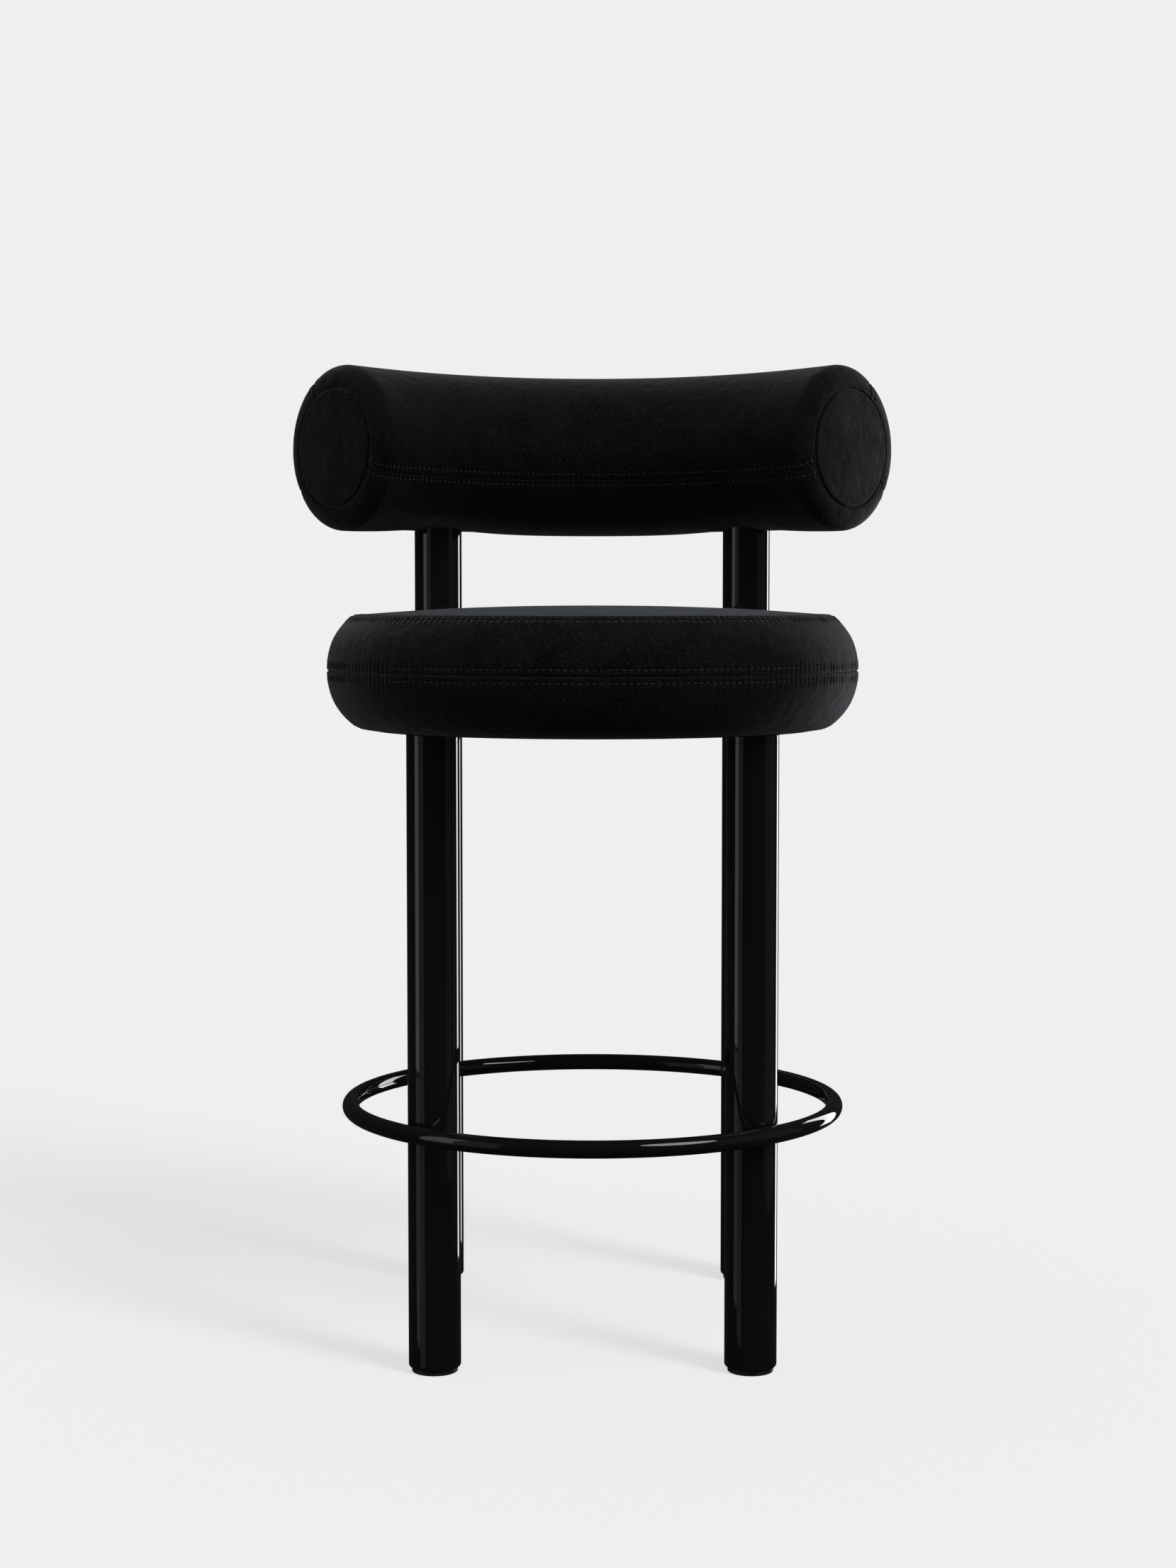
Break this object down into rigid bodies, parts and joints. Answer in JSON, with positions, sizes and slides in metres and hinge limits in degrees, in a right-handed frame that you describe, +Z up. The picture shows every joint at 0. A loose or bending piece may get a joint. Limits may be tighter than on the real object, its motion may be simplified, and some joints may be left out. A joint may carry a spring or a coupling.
{
  "type": "bar stool with footrest",
  "caption": "Counter-height stool on fat tube legs, with a round bar footrest ring, a thick round padded seat and a curved padded backrest roll.",
  "frame": {"origin": "on the floor, under the middle of the stool's box", "axes": "+Z up; +X to the right as the stool is seen from its front; the sitter faces -Y"},
  "size_m": [0.5732, 0.5557, 0.881],
  "materials": {
    "black_lacquer": "gloss",
    "glide_nylon": "matte",
    "black_screws": "satin",
    "zinc_steel": "zinc plated",
    "plywood": "raw birch plywood",
    "foam": "moulded foam",
    "velvet": "cut velvet",
    "dust_cloth": "non-woven cloth"
  },
  "bodies": {
    "root": {"backrest_core": "zinc_steel", "backrest_foam": "foam", "backrest_front_panel": "velvet", "backrest_left_end_panel": "velvet", "backrest_lock_screws": "black_screws", "backrest_rear_panel": "velvet", "backrest_right_end_panel": "velvet", "backrest_under_panel": "velvet", "footrest_front_screws": "black_screws", "footrest_nuts": "zinc_steel", "footrest_rear_screws": "black_screws", "front_left_end_cap": "black_lacquer", "front_left_glide": "glide_nylon", "front_left_leg": "black_lacquer", "front_right_end_cap": "black_lacquer", "front_right_glide": "glide_nylon", "front_right_leg": "black_lacquer", "glide_studs": "zinc_steel", "left_backrest_spigot": "zinc_steel", "left_footrest_half": "black_lacquer", "left_seat_rail": "black_lacquer", "rear_left_end_cap": "black_lacquer", "rear_left_glide": "glide_nylon", "rear_left_leg": "black_lacquer", "rear_right_end_cap": "black_lacquer", "rear_right_glide": "glide_nylon", "rear_right_leg": "black_lacquer", "right_backrest_spigot": "zinc_steel", "right_footrest_half": "black_lacquer", "right_seat_rail": "black_lacquer", "seat_board": "plywood", "seat_cross_rail": "black_lacquer", "seat_dust_cover": "dust_cloth", "seat_foam": "foam", "seat_lower_band": "velvet", "seat_screws": "zinc_steel", "seat_tee_nuts": "zinc_steel", "seat_top_panel": "velvet", "seat_upper_band": "velvet"}
  },
  "joints": []
}
